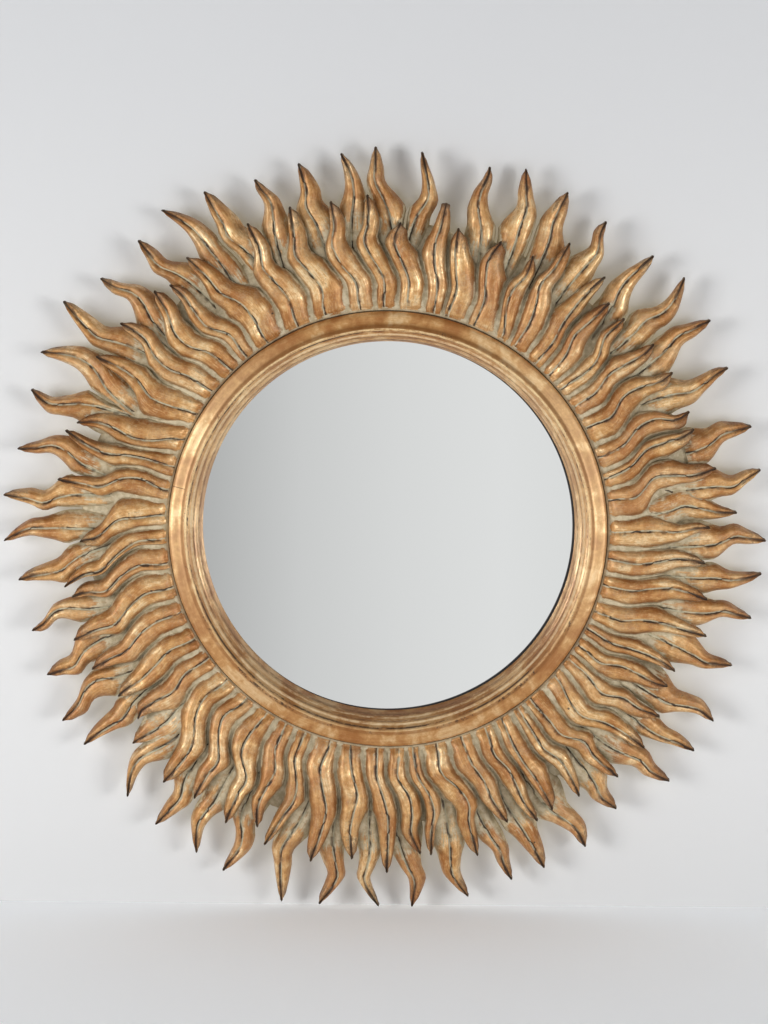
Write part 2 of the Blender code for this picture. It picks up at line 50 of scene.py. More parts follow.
BACK_RAYS = (
    (5.1, 490, 5.8, 6.6, 6.8, 5.1, 1.2, 1.3),
    (15.6, 487, 15.7, 15.3, 15.7, 17.3, 1.4, 1.5),
    (20.8, 499, 22.2, 23.3, 23.4, 23.8, 2.1, 2.0),
    (27.9, 494, 28.0, 28.1, 28.9, 29.4, 2.3, 2.2),
    (35.1, 488, 35.5, 36.8, 36.7, 36.4, 1.9, 1.4),
    (43.9, 493, 43.7, 43.5, 43.8, 45.1, 1.5, 1.9),
    (49.4, 503, 51.2, 51.4, 50.7, 51.1, 1.7, 2.2),
    (56.75, 497, 56.4, 56.0, 56.7, 57.3, 1.9, 2.0),
    (64.3, 487, 64.4, 64.9, 65.2, 64.2, 1.6, 1.5),
    (73.9, 489, 73.8, 73.8, 74.9, 75.4, 2.2, 1.8),
    (80.7, 489, 81.7, 82.7, 82.3, 82.1, 2.2, 1.6),
    (91.6, 491, 91.3, 91.0, 92.2, 92.8, 2.2, 1.8),
    (96.7, 489, 97.7, 98.3, 98.3, 98.8, 1.7, 1.9),
    (103.7, 487, 103.7, 103.6, 104.6, 105.3, 1.8, 1.5),
    (111.6, 483, 112.1, 112.7, 112.3, 112.0, 1.8, 1.5),
    (120.6, 495, 120.2, 120.9, 121.9, 121.9, 2.3, 1.8),
    (126.0, 496, 126.6, 127.3, 127.6, 127.6, 2.1, 1.3),
    (132.0, 497, 132.8, 132.6, 133.5, 134.5, 2.1, 2.0),
    (140.9, 476, 141.1, 141.6, 140.9, 140.7, 2.0, 1.7),
    (148.3, 495, 148.0, 148.7, 150.0, 150.8, 2.4, 2.2),
    (155.4, 495, 155.5, 155.7, 156.0, 156.6, 2.2, 2.1),
    (160.7, 494, 161.0, 160.9, 161.6, 162.2, 1.7, 1.6),
    (167.8, 501, 169.4, 169.4, 169.0, 168.7, 2.0, 2.1),
    (176.4, 505, 175.7, 176.6, 177.4, 178.2, 2.5, 1.6),
    (181.4, 504, 183.8, 183.5, 183.1, 183.5, 1.6, 1.6),
    (190.3, 510, 188.2, 188.8, 189.6, 190.1, 1.5, 2.6),
    (195.8, 518, 197.5, 198.2, 197.7, 196.6, 2.2, 1.8),
    (205.5, 507, 204.7, 205.2, 206.7, 207.3, 2.3, 1.6),
    (210.3, 502, 212.3, 212.5, 212.1, 212.4, 1.8, 2.1),
    (217.8, 501, 217.4, 217.3, 218.5, 219.2, 2.1, 1.9),
    (223.8, 497, 226.0, 226.8, 226.3, 225.4, 1.8, 1.6),
    (234.2, 494, 234.3, 234.2, 234.1, 235.3, 1.3, 2.1),
    (239.0, 500, 240.0, 241.7, 242.1, 241.0, 2.7, 1.4),
    (246.4, 489, 246.2, 246.0, 247.7, 248.5, 1.9, 2.5),
    (253.6, 487, 254.1, 255.7, 255.7, 254.7, 1.8, 1.3),
    (261.8, 489, 262.1, 262.2, 262.5, 264.6, 1.7, 1.9),
    (267.9, 503, 269.7, 269.9, 270.0, 269.9, 2.0, 2.0),
    (274.8, 504, 274.5, 274.1, 275.4, 276.2, 1.5, 2.4),
    (282.0, 494, 282.8, 283.8, 283.5, 281.9, 1.7, 1.9),
    (291.2, 498, 290.2, 291.0, 292.2, 293.0, 2.3, 1.8),
    (296.9, 506, 298.6, 299.0, 298.4, 296.4, 2.3, 2.4),
    (305.0, 514, 303.8, 303.5, 304.5, 305.6, 1.9, 2.4),
    (311.1, 494, 311.7, 312.9, 312.8, 311.6, 1.9, 1.8),
    (319.2, 494, 319.1, 319.1, 320.5, 321.6, 1.6, 2.0),
    (324.7, 506, 326.8, 327.4, 327.6, 328.0, 1.7, 2.2),
    (331.5, 497, 331.6, 331.8, 331.6, 333.2, 1.5, 2.7),
    (339.2, 484, 339.6, 340.4, 340.0, 339.1, 1.5, 1.6),
    (346.3, 487, 346.5, 346.5, 345.9, 346.9, 1.3, 2.4),
    (352.9, 490, 353.8, 354.3, 354.2, 353.4, 1.6, 1.6),
    (358.15, 495, 358.0, 357.9, 359.1, 360.4, 1.6, 2.0),
)
# Short rays behind the front tier
FILL_STATIONS = (0.430, 0.405, 0.385, 0.365)
FILL_READ = 0.405
FILL_RAYS = (
    (87.0, 453, 86.8, 85.8, 85.1, 85.9, 1.7, 1.5),
    (229.6, 440, 229.5, 228.9, 228.6, 229.1, 1.8, 1.9),
)
# Front rays, read in the same way
FRONT_STATIONS = (0.400, 0.375, 0.350, 0.325, 0.300)
FRONT_READ = 0.370
FRONT_RAYS = (
    (2.4, 399, 2.2, 1.4, 3.0, 4.9, 5.0, 1.8, 2.8),
    (10.1, 430, 9.9, 9.4, 10.0, 11.4, 11.8, 2.0, 2.3),
    (13.1, 402, 13.1, 13.5, 14.5, 15.9, 15.6, 1.3, 2.8),
    (21.3, 402, 21.3, 20.3, 21.1, 22.6, 22.7, 1.2, 3.0),
    (27.7, 402, 27.9, 28.2, 27.2, 28.0, 30.0, 1.1, 1.7),
    (32.1, 440, 32.2, 31.6, 33.0, 34.1, 34.3, 1.5, 2.4),
    (40.3, 432, 39.7, 39.6, 39.9, 40.9, 41.1, 2.1, 1.8),
    (43.9, 411, 43.9, 43.7, 43.4, 45.0, 45.6, 1.8, 1.8),
    (47.8, 411, 47.8, 48.0, 50.4, 50.9, 50.5, 1.2, 1.9),
    (54.6, 420, 55.0, 54.6, 54.4, 55.9, 56.1, 2.0, 2.2),
    (60.6, 421, 60.9, 59.9, 60.0, 62.5, 62.3, 2.1, 2.4),
    (68.1, 419, 68.6, 66.9, 67.2, 69.6, 70.4, 1.5, 3.1),
    (71.3, 417, 71.9, 71.9, 72.2, 74.8, 76.0, 1.6, 2.9),
    (78.9, 432, 79.3, 78.6, 78.4, 81.8, 81.9, 3.0, 2.0),
    (89.2, 417, 89.2, 89.9, 89.7, 89.8, 90.2, 1.4, 2.0),
    (95.6, 413, 95.3, 95.2, 96.4, 97.3, 97.2, 1.5, 2.1),
    (102.0, 424, 101.4, 101.2, 102.2, 103.6, 104.0, 1.8, 2.4),
    (108.2, 436, 108.3, 108.4, 109.1, 110.8, 111.1, 2.2, 2.0),
    (116.0, 416, 115.5, 115.3, 115.7, 116.5, 116.1, 1.3, 1.5),
    (119.0, 417, 119.6, 119.6, 120.0, 121.7, 121.1, 1.7, 2.2),
    (124.4, 430, 125.2, 125.3, 127.1, 126.0, 125.4, 1.6, 2.8),
    (130.3, 440, 130.7, 131.6, 133.6, 133.1, 131.4, 2.7, 1.9),
    (137.0, 442, 137.6, 137.1, 139.6, 139.6, 139.8, 2.1, 2.4),
    (144.3, 430, 143.4, 143.1, 144.4, 144.2, 144.0, 2.0, 1.9),
    (149.5, 426, 149.2, 149.2, 149.6, 149.6, 149.1, 2.8, 1.6),
    (152.8, 430, 153.4, 153.2, 153.2, 154.5, 153.9, 1.8, 2.0),
    (157.7, 415, 158.2, 158.8, 159.0, 160.1, 160.4, 1.7, 2.3),
    (164.6, 446, 164.5, 163.5, 164.7, 167.5, 167.2, 1.9, 2.8),
    (172.4, 433, 171.7, 170.6, 171.1, 172.9, 173.3, 1.3, 1.8),
    (174.2, 430, 175.5, 175.0, 175.3, 177.6, 177.2, 2.0, 2.6),
    (180.1, 454, 179.8, 179.9, 180.9, 182.4, 182.6, 2.1, 2.6),
    (186.1, 438, 187.0, 186.8, 186.4, 188.0, 189.3, 2.4, 2.9),
    (193.0, 451, 192.2, 192.3, 194.0, 195.6, 195.1, 2.4, 3.3),
    (201.2, 448, 199.8, 198.9, 199.8, 201.8, 202.0, 1.8, 2.0),
    (203.5, 429, 205.0, 205.0, 204.8, 206.8, 207.2, 2.2, 2.2),
    (208.7, 443, 209.3, 209.4, 213.0, 213.8, 213.3, 2.6, 2.5),
    (215.5, 437, 216.1, 216.1, 219.1, 221.1, 219.8, 2.3, 2.7),
    (221.3, 446, 221.4, 222.5, 225.6, 227.3, 226.7, 3.0, 3.3),
    (232.6, 411, 233.5, 233.3, 232.8, 234.3, 234.1, 2.7, 2.3),
    (238.0, 415, 238.3, 238.6, 239.6, 240.8, 240.3, 2.4, 2.4),
    (244.5, 428, 244.9, 245.0, 247.0, 248.1, 248.0, 2.5, 2.3),
    (250.4, 435, 250.8, 250.8, 253.3, 255.1, 254.8, 2.2, 3.2),
    (257.8, 421, 258.1, 257.6, 260.2, 261.8, 261.2, 1.3, 2.4),
    (259.8, 428, 261.4, 262.0, 265.0, 267.4, 267.5, 0.9, 2.3),
    (267.8, 400, 267.9, 268.8, 272.1, 272.8, 273.6, 2.2, 1.9),
    (278.7, 433, 278.6, 278.7, 281.1, 281.8, 280.5, 1.9, 1.8),
    (287.2, 437, 285.7, 285.4, 286.2, 286.6, 286.5, 1.9, 1.8),
    (289.1, 426, 290.5, 290.6, 290.1, 291.1, 293.4, 1.9, 2.5),
    (300.9, 439, 301.5, 301.1, 299.5, 299.9, 301.1, 2.2, 2.8),
    (307.9, 437, 308.5, 307.0, 306.7, 308.0, 308.3, 2.2, 2.5),
    (315.9, 432, 314.9, 313.1, 313.1, 315.2, 315.7, 2.3, 2.8),
    (318.6, 424, 319.2, 318.8, 318.9, 321.4, 321.1, 1.7, 1.9),
    (323.8, 438, 324.8, 325.2, 327.3, 328.0, 327.6, 2.3, 3.1),
    (335.6, 436, 335.8, 334.9, 336.1, 337.1, 336.5, 2.1, 2.3),
    (343.3, 437, 342.6, 341.7, 343.3, 344.9, 344.1, 1.7, 2.9),
    (350.3, 432, 350.2, 349.2, 350.3, 352.8, 352.9, 1.4, 2.8),
    (356.6, 435, 356.5, 355.5, 357.2, 359.3, 359.2, 1.6, 2.6),
)
# Breadth against the distance from the tip, or for front rays against the radius
BACK_SWELL = (
    (0.000, 0.20), (0.015, 0.48), (0.030, 0.73), (0.045, 0.94), (0.060, 1.14),
    (0.075, 1.29), (0.090, 1.37), (0.105, 1.40),
)
FRONT_SWELL = (
    (0.290, 1.56), (0.300, 1.58), (0.325, 1.48), (0.350, 1.25), (0.370, 1.00),
    (0.400, 0.75), (0.460, 0.32),
)
# Depth of a ray's crest against the radius
BACK_CREST = (
    (0.344, 0.0385), (0.365, 0.0404), (0.390, 0.0408), (0.420, 0.0388), (0.450, 0.0354),
    (0.480, 0.0308), (0.515, 0.0268),
)
FRONT_CREST = (
    (0.2895, 0.0452), (0.2925, 0.0490), (0.297, 0.0518), (0.306, 0.0544), (0.325, 0.0566),
    (0.350, 0.0578), (0.375, 0.0572), (0.400, 0.0546), (0.430, 0.0504), (0.455, 0.0476),
)
# The ground that the rays stand on, and the web between the back rays
GROUND = (
    (0.2848, 0.0432), (0.2900, 0.0446), (0.2960, 0.0462), (0.3100, 0.0474), (0.3300, 0.0472),
    (0.3450, 0.0448), (0.3590, 0.0402), (0.3700, 0.0352), (0.3820, 0.0316), (0.3900, 0.0296),
    (0.3935, 0.0270), (0.3940, 0.0230), (0.3920, 0.0196), (0.3535, 0.0190),
)
# Breadth of the valley left between neighbours of a tier
VALLEY = {"front": 0.0026, "back": 0.0032, "fill": 0.0032}
# Rays that differ: a repaired ray with a rounded root, and a blunt tip
REPAIRED_RAY = 9
REPAIRED_ROOT = 0.3985
REPAIRED_BEARING = 74.2
BLUNT_RAY = 1
# Radii at which the rays of each tier start, and half breadths of their tips
ROOTS = {"back": 0.346, "fill": 0.338, "front": 0.2880}
BLUNT_TIP, POINTED_TIP = 0.0058, 0.0019
# Lengths over which a tip closes to its side and to its end
TIP_TAPER, TIP_ROUND = 0.010, 0.0026


def polar(bearing, radius, depth):
    turn = math.radians(bearing)
    return Vector((radius * math.sin(turn), -depth, radius * math.cos(turn)))


def eased(pairs, value):
    """Smooth reading of (place, size) pairs."""
    if value <= pairs[0][0]:
        return pairs[0][1]
    if value >= pairs[-1][0]:
        return pairs[-1][1]
    place = 0
    while value > pairs[place + 1][0]:
        place += 1
    x1, y1 = pairs[place]
    x2, y2 = pairs[place + 1]
    x0, y0 = pairs[place - 1] if place > 0 else (2 * x1 - x2, 2 * y1 - y2)
    x3, y3 = pairs[place + 2] if place + 2 < len(pairs) else (2 * x2 - x1, 2 * y2 - y1)
    m1 = (y2 - y0) / (x2 - x0) * (x2 - x1)
    m2 = (y3 - y1) / (x3 - x1) * (x2 - x1)
    t = (value - x1) / (x2 - x1)
    start = (2 * t**3 - 3 * t**2 + 1) * y1 + (t**3 - 2 * t**2 + t) * m1
    return start + (3 * t**2 - 2 * t**3) * y2 + (t**3 - t**2) * m2


def smooth(low, high, value):
    t = min(1.0, max(0.0, (value - low) / (high - low)))
    return t * t * (3 - 2 * t)


class Ray:
    """One carved ray: its groove line, breadths and heights by radius."""

    def __init__(self, tier, number, row, stations, read_at, root):
        self.tier = tier
        self.seed = number * 7.31 + {"back": 0.0, "fill": 400.0, "front": 900.0}[tier]
        self.tip, self.reach = row[0], row[1] / 1000.0
        self.left, self.right = row[-2], row[-1]
        self.read_at, self.root = read_at, root
        knots = [(self.reach, self.tip)]
        for place, bearing in zip(stations, row[2:2 + len(stations)]):
            if place < self.reach - 0.009:
                knots.append((place, bearing))
        last, before = knots[-1], knots[-2]
        if last[0] > root + 0.006:
            lean = (last[1] - before[1]) / (before[0] - last[0])
            knots.append((root, last[1] + 0.5 * lean * (last[0] - root)))
        self.knots = sorted(knots)
        self.bend_read = self.bend(read_at)
        is_blunt = tier == "front" and number == BLUNT_RAY
        self.blunt = BLUNT_TIP if is_blunt else POINTED_TIP
        self.before = self.after = None

    def groove(self, r):
        return eased(self.knots, r)

    def bend(self, r):
        """How far the groove line turns at a radius, in degrees."""
        span = 0.012
        near = max(self.root, r - span)
        far = min(self.reach, r + span)
        mid = (near + far) / 2
        return self.groove(near) + self.groove(far) - 2 * self.groove(mid)

    def share(self, r):
        """Breadth at a radius, as a share of the breadth that was read."""
        d = self.reach - r
        if self.tier == "front":
            cap = d / (d + 0.006)
            read = self.reach - self.read_at
            return eased(FRONT_SWELL, r) * cap / (read / (read + 0.006))
        return eased(BACK_SWELL, d) / eased(BACK_SWELL, self.reach - self.read_at)

    def room(self, r, other, mine, theirs):
        """Degrees up to the valley shared with a neighbour, by their breadths."""
        if other is None or r > other.reach or r < other.root:
            return 90.0
        apart = abs((other.groove(r) - self.groove(r) + 180.0) % 360.0 - 180.0)
        mine *= self.share(r)
        theirs *= max(0.02, other.share(r))
        return apart * mine / (mine + theirs) - math.degrees(VALLEY[self.tier] / 2 / r)

    def halves(self, r):
        """Breadths in metres to the left and right of the groove."""
        lean = max(-0.16, min(0.16, 0.11 * (self.bend(r) - self.bend_read)))
        share = self.share(r)
        wave = 0.04 * noise.noise(Vector((self.seed, r * 30.0, 3.0)))
        if self.tier == "front":
            grown = 1.0 + 0.65 * smooth(0.400, 0.325, r)
        else:
            grown = 1.0 + 0.80 * smooth(0.452, 0.385, r)
        sides = []
        for mine, turn, other in ((self.left, lean + wave, self.before),
                                  (self.right, -lean - wave, self.after)):
            wide = mine * share * (1 + turn) * grown
            theirs = 1.0 if other is None else (other.right if other is self.before else other.left)
            limit = self.room(r, other, mine, theirs)
            wide = min(wide, max(limit, 0.45 * mine * share))
            sides.append(math.radians(wide) * r)
        left, right = sides
        d = self.reach - r
        blunt = self.blunt * math.sqrt(max(0.0, 1 - (1 - min(d, TIP_ROUND) / TIP_ROUND) ** 2))
        cap = 1.0
        if d <= TIP_TAPER:
            cap = math.sqrt(max(0.0, 1 - (1 - d / TIP_TAPER) ** 2)) * 0.35 + 0.65 * d / TIP_TAPER
        return max(left * cap, blunt), max(right * cap, blunt)


def piece(name, bm, material, smooth_shaded=True, outward=True):
    """An object of the bmesh; outward turns its faces to the outside first."""
    if outward:
        bmesh.ops.recalc_face_normals(bm, faces=bm.faces)
    mesh = bpy.data.meshes.new(name)
    bm.to_mesh(mesh)
    bm.free()
    mesh.materials.append(material)
    for polygon in mesh.polygons:
        polygon.use_smooth = smooth_shaded
    thing = bpy.data.objects.new(name, mesh)
    bpy.context.scene.collection.objects.link(thing)
    return thing


# Carved frame
ALONG_STEPS = 38
GROOVE_HALF = (0.0, 0.0008, 0.0016, 0.0024)
BAND_SHARES = (0.30, 0.50, 0.68, 0.83, 0.94, 1.0)
UNDER_SHARES = (0.92, 0.0, -0.92)
SIDE_COUNT = len(GROOVE_HALF) - 1 + len(BAND_SHARES)
TOP_COUNT = 2 * SIDE_COUNT + 1
AROUND = TOP_COUNT + len(UNDER_SHARES)


def station_levels(ray, r):
    """Crest, edge, groove depth and underside of a ray at a radius."""
    d = ray.reach - r
    fade = smooth(0.0, 0.022, d)
    if ray.tier == "front":
        crest = eased(FRONT_CREST, r)
        drop = 0.0068 + 0.0056 * smooth(0.335, 0.368, r)
        edge = crest - drop * fade * smooth(0.289, 0.303, r) - 0.0028
        sink = 0.0026 * smooth(0.291, 0.300, r) * (0.45 + 0.55 * fade)
        under = min(0.0420, crest - 0.005)
    elif ray.tier == "fill":
        crest = eased(BACK_CREST, r) + 0.001 + 0.0075 * smooth(0.385, 0.345, r)
        edge = crest - 0.0090 * fade - 0.0028
        sink = 0.0024 * (0.45 + 0.55 * fade)
        under = 0.0235
    else:
        crest = eased(BACK_CREST, r)
        edge = crest - 0.0110 * fade - 0.0028
        sink = 0.0025 * (0.45 + 0.55 * fade)
        under = 0.0165
    if ray.root == REPAIRED_ROOT:
        rise = smooth(0.0, 0.012, r - ray.root)
        crest = crest + 0.0026 - 0.0075 * (1 - rise)
        edge = edge + 0.0020
    crest += 0.0012 * noise.noise(Vector((ray.seed, r * 20.0, 11.0))) * fade
    return crest, max(edge, under + 0.001), sink, under


def section(ray, r):
    """Points of one closed section: (place, offset from the groove, side share)."""
    left, right = ray.halves(r)
    crest, edge, sink, under = station_levels(ray, r)
    tilt = 0.0018 * noise.noise(Vector((ray.seed + 5.0, r * 15.0, 7.0)))
    swell = 0.0013 * noise.noise(Vector((ray.seed + 9.0, r * 26.0, 2.0)))
    middle = ray.groove(r)
    points = []
    for k in range(-SIDE_COUNT, SIDE_COUNT + 1):
        half = left if k < 0 else right
        side = -1.0 if k < 0 else 1.0
        n = abs(k)
        inner = min(GROOVE_HALF[-1], half * 0.42)
        if n < len(GROOVE_HALF):
            size = inner * GROOVE_HALF[n] / GROOVE_HALF[-1]
            depth = crest - 0.0008 - sink * (1 - n / (len(GROOVE_HALF) - 1.0)) ** 1.2
        else:
            share = BAND_SHARES[n - len(GROOVE_HALF)]
            size = inner + (half - inner) * share
            bow = 0.0010 * math.sin(math.pi * min(1.0, share / 0.9))
            depth = crest - 0.0008 * (1 - min(1.0, share * 3)) + bow
            depth -= (crest - edge) * share ** 3.4
            depth += (swell * side + tilt * side) * math.sin(math.pi * min(1.0, share))
        bearing = middle + side * math.degrees(size / r)
        points.append((polar(bearing, r, depth), side * size, size / max(half, 1e-6)))
    for share in UNDER_SHARES:
        half = left if share < 0 else right
        bearing = middle + math.degrees(share * half / r)
        points.append((polar(bearing, r, under), 0.05, 2.0))
    return points


def add_ray(bm, ray, layers):
    """A grid of faces wrapped round the sections of one ray."""
    made = bmesh.ops.create_grid(bm, x_segments=AROUND, y_segments=ALONG_STEPS, size=1.0)["verts"]
    rings = []
    for j in range(ALONG_STEPS + 1):
        v = j / ALONG_STEPS
        v -= 0.105 * math.sin(2 * math.pi * v)
        r = ray.root + (ray.reach - ray.root) * v
        rings.append((r, section(ray, r)))
    for vert in made:
        i = round((vert.co.x + 1.0) / 2.0 * AROUND) % AROUND
        j = round((vert.co.y + 1.0) / 2.0 * ALONG_STEPS)
        r, points = rings[j]
        place, offset, share = points[i]
        vert.co = place
        vert[layers["groove_mm"]] = offset * 1000.0
        vert[layers["edge_share"]] = share
        vert[layers["tip_mm"]] = (ray.reach - r) * 1000.0
        vert[layers["ray_tone"]] = (ray.seed * 0.6180339) % 1.0
        vert[layers["tier"]] = 1.0 if ray.tier == "front" else 0.0
    faces = {f for vert in made for f in vert.link_faces}
    top = [f for f in faces if all(v[layers["edge_share"]] < 0.9 for v in f.verts)]
    for face in top:
        face.normal_update()
    if sum(face.normal.y for face in top) > 0:
        bmesh.ops.reverse_faces(bm, faces=list(faces))
    bmesh.ops.remove_doubles(bm, verts=made, dist=1e-6)


def all_rays():
    back = []
    for n, row in enumerate(BACK_RAYS):
        root = REPAIRED_ROOT if n == REPAIRED_RAY else ROOTS["back"]
        back.append(Ray("back", n, row, BACK_STATIONS, BACK_READ, root))
    fill = [Ray("fill", n, row, FILL_STATIONS, FILL_READ, ROOTS["fill"])
            for n, row in enumerate(FILL_RAYS)]
    front = [Ray("front", n, row, FRONT_STATIONS, FRONT_READ, ROOTS["front"])
             for n, row in enumerate(FRONT_RAYS)]
    for tier in (back, front):
        for n, ray in enumerate(tier):
            ray.before, ray.after = tier[n - 1], tier[(n + 1) % len(tier)]
    return back + fill + front


def spun(bm, profile, steps):
    """A closed profile of (radius, depth) pairs spun once round the axis."""
    verts = [bm.verts.new((0.0, -depth, radius)) for radius, depth in profile]
    edges = [bm.edges.new((verts[k - 1], verts[k])) for k in range(len(verts))]
    bmesh.ops.spin(bm, geom=verts + edges, cent=(0, 0, 0), axis=(0, 1, 0), dvec=(0, 0, 0),
                   angle=2 * math.pi, steps=steps, use_merge=True, use_duplicate=False)


def cut(thing, cutter):
    """Subtracts one object from another for good and removes the cutter."""
    modifier = thing.modifiers.new("cut", "BOOLEAN")
    modifier.operation = "DIFFERENCE"
    modifier.solver = "EXACT"
    modifier.object = cutter
    graph = bpy.context.evaluated_depsgraph_get()
    mesh = bpy.data.meshes.new_from_object(thing.evaluated_get(graph))
    thing.modifiers.clear()
    thing.data = mesh
    bpy.data.objects.remove(cutter, do_unlink=True)


PLATE = {"width": 0.060, "height": 0.024, "thick": 0.0020, "radius": 0.3060}
KEY = {"head": 0.0045, "slot": 0.0022, "rise": 0.0070, "pocket": 0.0090}


def slab(name, grow, near, far, round_off, material):
    """The hanging plate's rounded rectangle between two depths."""
    bm = bmesh.new()
    wide, high = PLATE["width"] / 2 + grow, PLATE["height"] / 2 + grow
    corners = [bm.verts.new((x * wide, -near, PLATE["radius"] + z * high))
               for x, z in ((-1, -1), (1, -1), (1, 1), (-1, 1))]
    bm.faces.new(corners)
    bmesh.ops.bevel(bm, geom=corners, offset=round_off, segments=6, profile=0.5,
                    affect="VERTICES", material=-1)
    raised = bmesh.ops.extrude_face_region(bm, geom=list(bm.faces), use_keep_orig=True)["geom"]
    raised = [v for v in raised if isinstance(v, bmesh.types.BMVert)]
    bmesh.ops.translate(bm, vec=(0, near - far, 0), verts=raised)
    return piece(name, bm, material, False)


def keyhole(name, grow, near, far, material):
    """A round hole below with a narrower slot above, between two depths."""
    bm = bmesh.new()
    centre = PLATE["radius"] - KEY["rise"] / 2
    turn = Matrix.Rotation(math.pi / 2, 4, "X")
    bmesh.ops.create_cone(bm, cap_ends=True, segments=32, radius1=KEY["head"] + grow,
                          radius2=KEY["head"] + grow, depth=far - near,
                          matrix=Matrix.Translation((0, -(near + far) / 2, centre)) @ turn)
    head = piece(name + "_head", bm, material, False)
    bm = bmesh.new()
    top = Matrix.Translation((0, -(near + far) / 2, centre + KEY["rise"]))
    bmesh.ops.create_cone(bm, cap_ends=True, segments=24, radius1=KEY["slot"] + grow,
                          radius2=KEY["slot"] + grow, depth=far - near, matrix=top @ turn)
    slot_end = piece(name + "_slot", bm, material, False)
    bm = bmesh.new()
    bmesh.ops.create_cube(bm, size=1.0)
    for vert in bm.verts:
        vert.co = Vector((
            vert.co.x * 2 * (KEY["slot"] + grow),
            -(near + (far - near) * (vert.co.y + 0.5)),
            centre + (vert.co.z + 0.5) * KEY["rise"],
        ))
    middle = piece(name + "_middle", bm, material, False)
    return [head, slot_end, middle]


def build_carving(material):
    """The ring with its ground and web, and the rays standing in it as closed bars."""
    bm = bmesh.new()
    profile = [(0.2622, 0.0008), (0.2630, 0.0), (0.3510, 0.0), (0.3520, 0.0010), (0.3520, 0.0182)]
    profile += [(radius, depth) for radius, depth in reversed(GROUND)]
    profile += [(0.2848, 0.0304), (0.2622, 0.0304)]
    spun(bm, profile, 144)
    for vert in bm.verts:
        radius = math.hypot(vert.co.x, vert.co.z)
        turn = vert.co / radius
        outward = smooth(0.354, 0.392, radius)
        apart = abs(math.degrees(math.atan2(vert.co.x, vert.co.z)) - REPAIRED_BEARING)
        stretch = 0.011 * noise.noise(turn * 9.0) * smooth(3.0, 7.0, apart)
        stretch += 0.0150 * smooth(7.0, 3.5, apart)
        if vert.co.y < -0.0185:
            vert.co.x += turn.x * outward * stretch
            vert.co.z += turn.z * outward * stretch
            ripple = 0.0016 * noise.noise(vert.co * 34.0) * smooth(0.288, 0.300, radius)
            vert.co.y -= ripple * (1 - outward * 0.4)
    ring = piece("ring_blank", bm, material)
    cut(ring, slab("seat", 0.0003, -0.001, PLATE["thick"] + 0.0003, 0.0043, material))
    for cutter in keyhole("pocket", KEY["slot"], PLATE["thick"], KEY["pocket"], material):
        cut(ring, cutter)
    bm = bmesh.new()
    layers = {}
    for name in ("groove_mm", "edge_share", "tip_mm", "ray_tone", "tier", "recess"):
        layers[name] = bm.verts.layers.float.new(name)
    bm.from_mesh(ring.data)
    bpy.data.objects.remove(ring, do_unlink=True)
    for name in layers:
        layers[name] = bm.verts.layers.float[name]
    for vert in bm.verts:
        vert[layers["groove_mm"]] = 50.0
        vert[layers["tip_mm"]] = 200.0
        vert[layers["edge_share"]] = 1.0
        vert[layers["tier"]] = 2.0
    for ray in all_rays():
        add_ray(bm, ray, layers)
    ends = [e for e in bm.edges if e.is_boundary]
    bmesh.ops.holes_fill(bm, edges=ends, sides=AROUND)
    bm.normal_update()
    recess_into(bm, layers["recess"])
    return piece("carved_sunburst", bm, material, outward=False)


def recess_into(bm, layer, reach=0.026):
    """How shut in each point is, from rays cast over its hemisphere."""
    tree = BVHTree.FromBMesh(bm)
    fan = []
    for n in range(16):
        height = 1.0 - (n + 0.5) / 16.0
        flat = math.sqrt(1.0 - height * height)
        turn = n * 2.399963
        fan.append((flat * math.cos(turn), flat * math.sin(turn), height))
    for vert in bm.verts:
        normal = vert.normal
        if normal.y > 0.3:
            vert[layer] = 0.6
            continue
        side = normal.orthogonal().normalized()
        other = normal.cross(side)
        start = vert.co + normal * 0.0006
        shut = 0.0
        for x, y, z in fan:
            hit = tree.ray_cast(start, side * x + other * y + normal * z, reach)
            if hit[0] is not None:
                shut += 1.0 - 0.7 * hit[3] / reach
        vert[layer] = shut / len(fan)


# Moulding profile, (radius, depth) in mm from the outer edge to the lip
MOULDING = (
    (284.4, 30.4), (284.4, 46.6), (284.0, 48.6), (283.0, 50.2), (281.2, 51.4), (278.6, 52.3),
    (275.6, 52.9), (272.6, 53.4), (270.2, 54.0), (268.2, 54.9), (266.6, 56.2), (265.2, 57.5),
    (263.8, 58.4), (262.4, 58.7), (261.2, 58.1), (260.2, 56.8), (259.0, 54.4), (257.8, 52.0),
    (256.7, 50.4), (255.6, 49.6), (254.5, 49.2), (253.5, 48.3), (252.5, 46.0), (251.4, 42.8),
    (250.3, 40.0), (249.3, 38.2), (248.5, 37.3), (247.7, 35.6), (246.9, 31.6), (246.0, 26.4),
    (245.1, 21.2), (244.3, 16.6), (243.6, 13.7), (243.1, 12.3), (243.2, 11.2), (243.8, 10.5),
    (261.6, 10.5), (261.6, 30.2),
)


def build_moulding(material):
    bm = bmesh.new()
    spun(bm, [(radius / 1000.0, depth / 1000.0) for radius, depth in MOULDING], 224)
    return piece("turned_moulding", bm, material)


def round_slab(name, radius, near, far, edge, material):
    """A round plate with eased edges between two depths."""
    bm = bmesh.new()
    middle = Matrix.Translation((0, -(near + far) / 2, 0))
    bmesh.ops.create_cone(bm, cap_ends=True, segments=192, radius1=radius, radius2=radius,
                          depth=far - near, matrix=middle @ Matrix.Rotation(math.pi / 2, 4, "X"))
    rims = [e for e in bm.edges if abs(e.verts[0].co.y - e.verts[1].co.y) < 1e-6]
    bmesh.ops.bevel(bm, geom=rims, offset=edge, segments=2, profile=0.5, affect="EDGES",
                    material=-1)
    return piece(name, bm, material, False)


